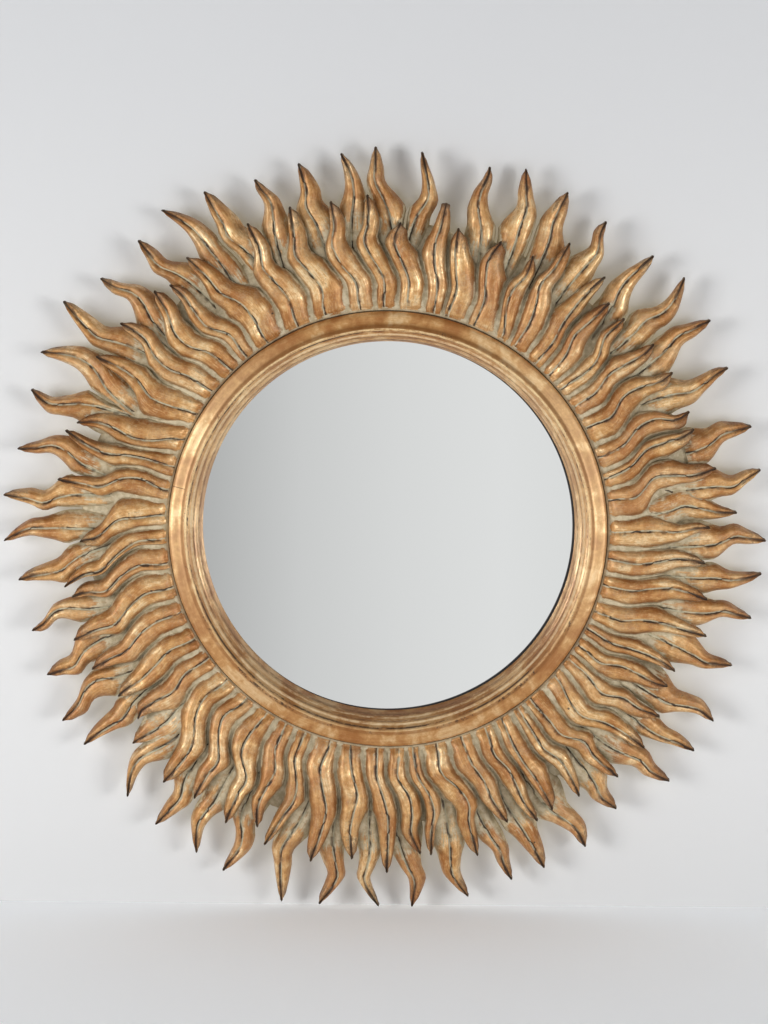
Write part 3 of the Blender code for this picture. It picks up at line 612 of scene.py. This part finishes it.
# Shader building blocks
class Output:
    """An output of a shader node, for use in plain sums."""

    def __init__(self, socket):
        self.socket = socket
        self.tree = socket.id_data

    def __add__(self, other):
        return calc("ADD", self, other)

    def __sub__(self, other):
        return calc("SUBTRACT", self, other)

    def __mul__(self, other):
        return calc("MULTIPLY", self, other)

    def __truediv__(self, other):
        return calc("DIVIDE", self, other)

    def __radd__(self, other):
        return calc("ADD", other, self)

    def __rsub__(self, other):
        return calc("SUBTRACT", other, self)

    def __abs__(self):
        return calc("ABSOLUTE", self)


def join(value, socket):
    """Links an output to a socket, or sets a plain value on the socket."""
    if isinstance(value, Output):
        value.tree.links.new(value.socket, socket)
    else:
        socket.default_value = value


def add(tree, kind, inputs=(), **settings):
    """Adds a node and returns the outputs that it has in use, by name."""
    node = tree.nodes.new(kind)
    for name, setting in settings.items():
        setattr(node, name, setting)
    for key, value in dict(inputs).items():
        join(value, node.inputs[key])
    return {socket.name: Output(socket) for socket in node.outputs if socket.enabled}


def calc(operation, a, b=0.0):
    tree = (a if isinstance(a, Output) else b).tree
    return add(tree, "ShaderNodeMath", {0: a, 1: b}, operation=operation)["Value"]


def most(a, b):
    return calc("MAXIMUM", a, b)


def step(value, low, high):
    """0 at low and 1 at high, with an eased change between; low may be the larger."""
    return add(value.tree, "ShaderNodeMapRange", {
        "Value": value, "From Min": low, "From Max": high, "To Min": 0.0, "To Max": 1.0,
    }, interpolation_type="SMOOTHSTEP")["Result"]


def band(value, centre, half, soft):
    """1 within half of a centre, easing to 0 over soft."""
    return step(abs(value - centre), half + soft, half)


def blend(share, a, b):
    return add(share.tree, "ShaderNodeMix", {0: share, 6: a, 7: b},
               data_type="RGBA", clamp_factor=True)["Result"]


def blur(place, scale, detail=3.0, rough=0.55, distortion=0.0):
    """Soft noise between 0 and 1."""
    return add(place.tree, "ShaderNodeTexNoise", {
        "Vector": place, "Scale": scale, "Detail": detail, "Roughness": rough,
        "Distortion": distortion,
    })["Fac"]


def vector(tree, x, y, z):
    return add(tree, "ShaderNodeCombineXYZ", {0: x, 1: y, 2: z})["Vector"]


def scaled(place, factors):
    return add(place.tree, "ShaderNodeVectorMath", {0: place, 1: factors},
               operation="MULTIPLY")["Vector"]


def measure(operation, a, b=(0.0, 0.0, 0.0)):
    """The LENGTH, DISTANCE or DOT_PRODUCT of vectors."""
    return add(a.tree, "ShaderNodeVectorMath", {0: a, 1: b}, operation=operation)["Value"]


def read(tree, name):
    """A number kept on the points of the mesh."""
    return add(tree, "ShaderNodeAttribute", attribute_name=name)["Fac"]


def srgb(r, g, b):
    """An 8-bit colour as linear values."""
    def lin(c):
        c /= 255.0
        return c / 12.92 if c <= 0.04045 else ((c + 0.055) / 1.055) ** 2.4
    return (lin(r), lin(g), lin(b), 1.0)


def shared(name, takes, gives):
    """A node group, its inputs as outputs of a node by name, and its closing node."""
    group = bpy.data.node_groups.new(name, "ShaderNodeTree")
    for label, kind in takes:
        group.interface.new_socket(label, in_out="INPUT", socket_type="NodeSocket" + kind)
    for label, kind in gives:
        group.interface.new_socket(label, in_out="OUTPUT", socket_type="NodeSocket" + kind)
    return group, add(group, "NodeGroupInput"), group.nodes.new("NodeGroupOutput")


def use(tree, group, inputs):
    return add(tree, "ShaderNodeGroup", inputs, node_tree=group)


def material_tree(name):
    material = bpy.data.materials.new(name)
    material.use_nodes = True
    tree = material.node_tree
    return material, tree, tree.nodes["Principled BSDF"].inputs


def object_place(tree):
    return add(tree, "ShaderNodeTexCoord")["Object"]


def flattened(place):
    """The place moved straight back onto the wall plane."""
    return scaled(place, (1.0, 0.0, 1.0))


def parts_of(place):
    return add(place.tree, "ShaderNodeSeparateXYZ", {0: place})


def bumped(height, strength, distance):
    return add(height.tree, "ShaderNodeBump", {
        "Height": height, "Strength": strength, "Distance": distance})["Normal"]


def gilding_group():
    """Old gilding: gold varied in patches and strokes, rubbed through to brown in places, with
    burnished patches that carry a painted highlight.
    """
    group, takes, gives = shared("old_gilding", (
        ("Vector", "Vector"), ("Strokes", "Vector"), ("Tone", "Float"), ("Wear", "Float"),
        ("Grain", "Float"),
    ), (("Color", "Color"), ("Rubbed", "Float"), ("Bright", "Float"), ("Height", "Float")))
    place = takes["Vector"]
    broad = blur(place, 17.0, 3.0, 0.6, 0.5)
    middle = blur(place, 62.0, 4.0, 0.65, 0.5)
    speck = blur(place, 330.0, 4.0, 0.7)
    stroke = blur(takes["Strokes"], 0.55, 4.0, 0.6)
    patches = broad * 0.65 + middle * 0.35
    colour = blend(step(patches, 0.40, 0.60), srgb(170, 112, 56), srgb(220, 170, 106))
    light = stroke * 0.55 + blur(place, 170.0, 4.0, 0.7) * 0.45
    light = (light - 0.5) * takes["Grain"] + 0.5
    colour = blend(step(light, 0.48, 0.64) * 0.42, colour, srgb(240, 202, 144))
    colour = blend(step(light, 0.50, 0.35) * 0.42, colour, srgb(146, 94, 48))
    copper = step(takes["Tone"] + broad, 0.9, 1.5) * 0.28
    colour = blend(copper, colour, srgb(190, 132, 86))
    # Burnished patches, with a pale painted highlight in their colour
    burnish_and_painted_highlight = step(patches, 0.51, 0.60) * step(light, 0.40, 0.58)
    colour = blend(burnish_and_painted_highlight * 0.80, colour, srgb(253, 224, 176))
    rub = middle * 0.45 + speck * 0.30 + stroke * 0.25 + takes["Wear"] * 0.16
    rubbed = step(rub, 0.56, 0.68)
    colour = blend(rubbed * 0.72, colour, srgb(112, 66, 30))
    join(colour, gives.inputs["Color"])
    join(rubbed, gives.inputs["Rubbed"])
    join(burnish_and_painted_highlight, gives.inputs["Bright"])
    join(stroke * 0.6 + speck * 0.4, gives.inputs["Height"])
    return group


def wash_group():
    """Grey-green wash left in the recesses."""
    group, takes, gives = shared("recess_wash", (
        ("Vector", "Vector"), ("Strokes", "Vector"), ("Recess", "Float"),
    ), (("Color", "Color"), ("Mask", "Float")))
    place = takes["Vector"]
    cloud = blur(place, 70.0, 4.0, 0.62)
    stroke = blur(takes["Strokes"], 0.42, 3.0, 0.6)
    ragged = cloud * 0.5 + stroke * 0.5 - 0.5
    tint = step(blur(place, 140.0, 4.0, 0.6), 0.35, 0.65)
    join(blend(tint, srgb(176, 163, 132), srgb(208, 196, 166)), gives.inputs["Color"])
    join(step(takes["Recess"] + ragged * 1.5, 0.40, 0.60), gives.inputs["Mask"])
    return group


def spot(flat, bearing, radius, size, ragged):
    """Mask of a small round mark at a bearing and radius on the front."""
    away = measure("DISTANCE", flat, polar(bearing, radius, 0.0)) + ragged * (0.5 * size)
    return step(away, 1.15 * size, 0.75 * size)


# Bearing in degrees, then radius and size in metres, of the dark knots in the rays
KNOTS = (
    (134.4, 0.330, 0.0021), (195.6, 0.327, 0.0024), (255.4, 0.317, 0.0022), (281.9, 0.325, 0.0024),
    (321.0, 0.328, 0.0020), (227.3, 0.332, 0.0026), (332.3, 0.318, 0.0020), (50.9, 0.335, 0.0022),
    (56.1, 0.310, 0.0020), (111.0, 0.310, 0.0022), (139.8, 0.308, 0.0020), (155.0, 0.457, 0.0018),
)


def carving_material(gilding, wash):
    material, tree, shader = material_tree("carved_gilt")
    place = object_place(tree)
    flat, parts = flattened(place), parts_of(place)
    recess, tone, tip = read(tree, "recess"), read(tree, "ray_tone"), read(tree, "tip_mm")
    tier, groove, edge = read(tree, "tier"), read(tree, "groove_mm"), read(tree, "edge_share")
    radius = measure("LENGTH", flat)
    strokes = vector(tree, groove, tip * 0.13, tone * 60.0)
    gold = use(tree, gilding, {"Vector": place, "Strokes": strokes, "Tone": tone,
                               "Wear": step(tip, 46.0, 4.0), "Grain": 1.0})

    # Wash: in shut-in places, on the ground, low on the back rays and at the roots,
    # and further out on both tiers in the lower part
    front = step(tier, 0.5, 0.9)
    ground = step(tier, 1.5, 1.9)
    bottom = step(parts["Z"], -0.20, -0.36)
    under = step(parts["Z"], -0.16, -0.29)
    low = (1.0 - front) * step(radius - bottom * 0.034, 0.448, 0.380)
    root = step(radius - under * 0.0110, 0.2985, 0.2900) * front
    shut = recess * 0.85 + low * (0.30 + bottom * 0.08) + root * 0.26
    shut = shut + step(edge, 0.74, 1.0) * 0.24 + ground
    dust = use(tree, wash, {"Vector": place, "Strokes": strokes, "Recess": shut})

    # Painted shade: gold darkened in the valleys and towards the ray edges; then a thin pale film
    # of dirt, then the wash
    painted_valley_shade = recess * 1.5 + step(edge, 0.55, 1.0) * 0.40 + (blur(place, 110.0, 4.0, 0.65) - 0.5)
    painted_valley_shade = step(painted_valley_shade, 0.20, 0.75) * 0.62
    film = blur(place, 34.0, 3.0, 0.6) * 0.5 + blur(place, 420.0, 3.0, 0.7) * 0.5
    film = step(film, 0.44, 0.64) * 0.30
    colour = blend(painted_valley_shade, gold["Color"], srgb(120, 74, 36))
    colour = blend(film, colour, srgb(190, 172, 140))
    colour = blend(dust["Mask"] * 0.88, colour, dust["Color"])

    # Groove: a pale line of wash and a dark line of painted shade, in mm beside it, that change
    # sides along the ray
    course = vector(tree, tip * 0.030, tone * 90.0, 0.0)
    deep = add(tree, "ShaderNodeVectorMath", {0: course, 1: (7.0, 3.0, 1.0)},
               operation="ADD")["Vector"]
    sign = 1.0 - step(blur(course, 0.8, 1.0), 0.49, 0.57) * 2.0
    across = groove + (blur(place, 260.0, 3.0) - 0.5) * 1.3
    carved = 1.0 - ground
    pale = step(abs(across + sign * 0.60), 1.35, 0.70) * carved
    pale = pale * step(blur(course, 1.9, 2.0), 0.29, 0.44) * step(tip, 12.0, 34.0)
    dark = abs(across - sign * 1.15) - step(blur(course, 3.1, 2.0), 0.45, 0.70) * 0.7
    dark = step(dark, 1.20, 0.50) * step(blur(deep, 1.6, 2.0), 0.36, 0.54)
    smudge = step(abs(across - sign * 1.6), 3.4, 0.6) * step(blur(deep, 2.6, 3.0), 0.47, 0.62)
    dark = most(dark, smudge * 0.65) * carved

    # Dark wood at the tips and their rims, the knots, and the joint with the moulding
    point = step(abs(groove), 1.5, 0.5) * step(tip, 40.0, 14.0)
    stain = step(tip + blur(place, 120.0, 3.0) * 9.0, 12.5, 6.0)
    rim = step(edge, 0.72, 0.95) * step(tip, 34.0, 8.0) * step(blur(place, 90.0, 3.0), 0.42, 0.58)
    dark = most(most(most(dark, point * 0.95), stain * 0.85), rim * 0.60)
    ragged = blur(place, 300.0, 3.0)
    for bearing, away, size in KNOTS:
        dark = most(dark, spot(flat, bearing, away, size, ragged) * 0.9)
    joint = step(radius, 0.2862, 0.2852) * step(parts["Y"], -0.020, -0.026)
    dark = most(dark, joint * 0.9)
    colour = blend(pale * 0.85, colour, srgb(200, 194, 166))
    # The dark colour covers the painted groove shade as well as the dark wood, knots and joint
    colour = blend(dark * 0.93, colour, srgb(50, 33, 22))

    matt = most(most(dust["Mask"], dark), pale)
    metal = (0.28 + gold["Bright"] * 0.40) * (1.0 - film * 1.6)
    rough = 0.44 - gold["Bright"] * 0.10 + matt * 0.25 + gold["Rubbed"] * 0.15
    join(colour, shader["Base Color"])
    join((1.0 - matt) * metal, shader["Metallic"])
    join(rough, shader["Roughness"])
    join(bumped(gold["Height"], 0.35, 0.0010), shader["Normal"])
    return material


CRACK_BEARING = 281.6


def moulding_material(gilding):
    """Gilding on the turned moulding; the bands are at radii in mm."""
    material, tree, shader = material_tree("moulding_gilt")
    place = object_place(tree)
    flat, parts = flattened(place), parts_of(place)
    radius = measure("LENGTH", flat) * 1000.0
    strokes = vector(tree, radius * 0.9, parts["X"] * 60.0, parts["Z"] * 60.0)
    gold = use(tree, gilding, {"Vector": place, "Strokes": strokes, "Tone": 0.20,
                               "Wear": -0.35, "Grain": 0.45})
    ragged = blur(strokes, 0.9, 4.0, 0.7) * 0.6 + blur(place, 240.0, 4.0, 0.7) * 0.4
    below = step(parts["Z"], 0.05, -0.22)
    above = step(parts["Z"], 0.16, 0.27)

    # Crest rubbed to dark wood in broken patches, most of all below
    level = ragged + blur(place, 8.0, 2.0) * 0.7 + below * 0.10
    fleck = blur(place, 300.0, 4.0, 0.7) * 0.55 + blur(place, 24.0, 2.0) * 0.45 + below * 0.05
    worn = most(band(radius, 264.9, 1.0, 2.3) * step(fleck, 0.57, 0.65),
                band(radius, 259.4, 0.4, 1.0) * step(level, 0.84, 0.96))

    # Painted shade: darker gold above and below, and brown outside the crest; painted light: paler
    # gold at the sides
    colour = blend(below * 0.30, gold["Color"], srgb(138, 86, 46))
    colour = blend(above * 0.20, colour, srgb(138, 86, 46))
    colour = blend((1.0 - above) * (1.0 - below) * 0.22, colour, srgb(240, 216, 174))
    colour = blend(band(radius, 265.6, 1.4, 2.4) * 0.48, colour, srgb(142, 92, 46))

    # Cream fillet and lip, a painted highlight on the crest, and painted shade as dark lines in the
    # two corners
    cream = most(band(radius, 255.0, 0.8, 1.2) * step(ragged, 0.36, 0.56),
                 band(radius, 248.7, 0.5, 0.9) * step(ragged, 0.42, 0.60))
    painted_crest_highlight = band(radius, 261.8, 0.9, 1.2) * step(ragged, 0.40, 0.54) * (0.72 - below * 0.50)
    line = most(band(radius, 252.2, 0.3, 0.9), band(radius, 246.4, 0.3, 1.0))
    line = line * step(ragged, 0.62, 0.44)
    colour = blend(cream * 0.55, colour, srgb(232, 214, 176))
    colour = blend(painted_crest_highlight, colour, srgb(246, 220, 168))
    colour = blend(line * 0.60, colour, srgb(92, 62, 34))
    colour = blend(worn * 0.92, colour, srgb(60, 38, 20))

    # Crack through the outer band at the left
    across = polar(CRACK_BEARING + 90.0, 1.0, 0.0)
    split = abs(measure("DOT_PRODUCT", flat, across) + (ragged - 0.5) * 0.0014)
    split = step(split, 0.00085, 0.00025) * step(parts["X"], -0.2600, -0.2640)
    colour = blend(split * 0.75, colour, srgb(84, 52, 26))

    matt = most(most(worn, line), cream)
    join(colour, shader["Base Color"])
    join((1.0 - matt) * (0.34 + gold["Bright"] * 0.20), shader["Metallic"])
    join(0.44 + matt * 0.25, shader["Roughness"])
    join(bumped(gold["Height"], 0.20, 0.0008), shader["Normal"])
    return material


def glass_material():
    """Silvering, with a painted dark band at the lower right that stands in for the shade in the
    gap between the glass and the lip.
    """
    material, tree, shader = material_tree("silvered_glass")
    flat = flattened(object_place(tree))
    painted_gap_shade = step(measure("DISTANCE", flat, polar(292.0, 0.0025, 0.0)), 0.2421, 0.2427)
    join(blend(painted_gap_shade, (0.86, 0.87, 0.87, 1.0), srgb(34, 36, 40)), shader["Base Color"])
    join(1.0 - painted_gap_shade, shader["Metallic"])
    join(0.015 + painted_gap_shade * 0.6, shader["Roughness"])
    return material


def steel_material():
    material, _, shader = material_tree("dull_steel")
    shader["Base Color"].default_value = srgb(150, 148, 144)
    shader["Metallic"].default_value = 0.45
    shader["Roughness"].default_value = 0.45
    return material


def board_material():
    material, tree, shader = material_tree("board_wood")
    grain = blur(scaled(object_place(tree), (3.0, 60.0, 60.0)), 2.2, 5.0, 0.6, 0.6)
    join(blend(step(grain, 0.35, 0.65), srgb(112, 78, 48), srgb(156, 116, 76)),
         shader["Base Color"])
    shader["Roughness"].default_value = 0.75
    return material


FLOOR_Z = -0.5085
# Shadow rays shorter than this pass the wall, above a strip over the floor, so
# that the light behind the wall reaches the back of the part
CLOSE_TO_WALL = 0.06
SHADED_STRIP = 0.045


def paper(name, low, top, low_z, high_z, is_wall):
    """A plain paper surface that changes with height, which on the wall is painted shade towards
    the top; a wall can't be seen from behind.
    """
    material, tree, shader = material_tree(name)
    height = parts_of(object_place(tree))["Z"]
    join(blend(step(height, low_z, high_z), low, top), shader["Base Color"])
    shader["Roughness"].default_value = 0.9
    shader["Specular IOR Level"].default_value = 0.15
    shader["Emission Color"].default_value = top
    shader["Emission Strength"].default_value = 0.0 if is_wall else 0.265
    if is_wall:
        path = add(tree, "ShaderNodeLightPath")
        passed = calc("LESS_THAN", path["Ray Length"], CLOSE_TO_WALL) * path["Is Shadow Ray"]
        passed = passed * calc("GREATER_THAN", height, FLOOR_Z + SHADED_STRIP)
        clear = most(add(tree, "ShaderNodeNewGeometry")["Backfacing"], passed)
        mixed = add(tree, "ShaderNodeMixShader", {
            0: clear, 1: Output(tree.nodes["Principled BSDF"].outputs[0]),
            2: add(tree, "ShaderNodeBsdfTransparent")["BSDF"]})
        join(mixed["Shader"], tree.nodes["Material Output"].inputs["Surface"])
    return material


def card(name, material, size_x, size_y, matrix):
    bm = bmesh.new()
    stretch = Matrix.Diagonal((size_x, size_y, 1, 1))
    bmesh.ops.create_grid(bm, x_segments=1, y_segments=1, size=0.5, matrix=matrix @ stretch)
    thing = piece(name, bm, material, smooth_shaded=False, outward=False)
    return thing


# Share across the room and grey level of the glow that the glass reflects
GLOW = ((0.10, 178), (0.17, 187), (0.30, 202), (0.42, 209), (0.52, 214), (0.64, 218), (0.75, 221))


def build_stage():
    white = srgb(240, 242, 244)
    # Painted shade: the wall's colour darkens towards the top
    wall = paper("wall_paper", srgb(228, 228, 228), srgb(220, 221, 223), 0.0, 0.85, True)
    floor = paper("floor_paper", white, white, -1.0, 1.0, False)
    upright = Matrix.Translation((0, 0.0012, FLOOR_Z + 3.0)) @ Matrix.Rotation(math.pi / 2, 4, "X")
    card("wall", wall, 12.0, 6.0, upright)
    card("floor", floor, 12.0, 1.3, Matrix.Translation((0, -0.6488, FLOOR_Z)))
    material, tree, _ = material_tree("room_glow")
    across = (parts_of(object_place(tree))["X"] + 0.9) / 1.4
    colour = add(tree, "ShaderNodeValToRGB", {0: across})["Color"]
    stops = colour.socket.node.color_ramp.elements
    for share, level in GLOW:
        stops.new(share).color = srgb(level, level + 0.6, level)
    stops[0].color = srgb(172, 172, 171)
    stops[-1].color = srgb(216, 217, 216)
    glow = add(tree, "ShaderNodeEmission", {"Color": colour, "Strength": 1.15})
    join(glow["Emission"], tree.nodes["Material Output"].inputs["Surface"])
    back = card("room", material, 9.0, 6.0,
                Matrix.Translation((0, -6.2, 0.6)) @ Matrix.Rotation(-math.pi / 2, 4, "X"))
    back.visible_shadow = False
    back.visible_diffuse = False
    back.visible_camera = False


def area_light(name, place, size_x, size_y, energy):
    """A rectangular light that faces the origin."""
    lamp = bpy.data.lights.new(name, "AREA")
    lamp.shape = "RECTANGLE"
    lamp.size, lamp.size_y = size_x, size_y
    lamp.energy = energy
    thing = bpy.data.objects.new(name, lamp)
    bpy.context.scene.collection.objects.link(thing)
    thing.location = place
    thing.rotation_mode = "QUATERNION"
    thing.rotation_quaternion = (-Vector(place)).to_track_quat("-Z", "Y")
    return thing


def build_lights():
    area_light("left_soft", (-3.6, -2.8, 0.3), 1.6, 2.0, 98.0)
    area_light("right_soft", (3.8, -3.2, -0.1), 1.6, 2.0, 91.0)
    fill = area_light("front_fill", (-0.3, -5.2, -0.6), 3.0, 2.4, 58.0)
    fill.visible_glossy = False
    behind = area_light("back_soft", (0.5, 3.2, 0.7), 2.2, 2.2, 85.0)
    behind.visible_glossy = False
    behind.visible_camera = False
    world = bpy.data.worlds.new("studio")
    world.use_nodes = True
    background = world.node_tree.nodes["Background"].inputs
    background["Color"].default_value = srgb(225, 226, 228)
    background["Strength"].default_value = 0.19
    bpy.context.scene.world = world


def build_camera():
    data = bpy.data.cameras.new("camera")
    data.sensor_width = 36.0
    data.lens = 120.86
    data.clip_start, data.clip_end = 0.05, 60.0
    thing = bpy.data.objects.new("camera", data)
    bpy.context.scene.collection.objects.link(thing)
    azimuth, elevation, distance = math.radians(2.0), math.radians(7.5), 4.5
    level = math.cos(elevation)
    back = Vector((math.sin(azimuth) * level, -math.cos(azimuth) * level, math.sin(elevation)))
    thing.location = Vector((-0.0061, 0.0, 0.0180)) + back * distance
    thing.rotation_mode = "QUATERNION"
    thing.rotation_quaternion = (-back).to_track_quat("-Z", "Y")
    bpy.context.scene.camera = thing


def main():
    gilding, wash = gilding_group(), wash_group()
    carving = build_carving(carving_material(gilding, wash))
    moulding = build_moulding(moulding_material(gilding))
    glass = round_slab("glass_disc", 0.2580, 0.0062, 0.0098, 0.0006, glass_material())
    board = round_slab("board_disc", 0.2614, 0.0002, 0.0055, 0.0008, board_material())
    steel = steel_material()
    plate = slab("hanger_plate", 0.0, 0.0, PLATE["thick"], 0.0040, steel)
    for cutter in keyhole("hole", 0.0, -0.001, 2 * PLATE["thick"], steel):
        cut(plate, cutter)
    for thing, node, slot in (
        (carving, "sunburst_frame", "gilt_wood"),
        (moulding, "round_moulding", "worn_gilt"),
        (glass, "mirror_glass", "silvered_glass"),
        (board, "back_board", "bare_wood"),
        (plate, "hanging_plate", "steel_plate"),
    ):
        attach(thing, "root")
        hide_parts(node)
    build_stage()
    build_lights()
    build_camera()
    bpy.context.scene.view_settings.view_transform = "Standard"


main()
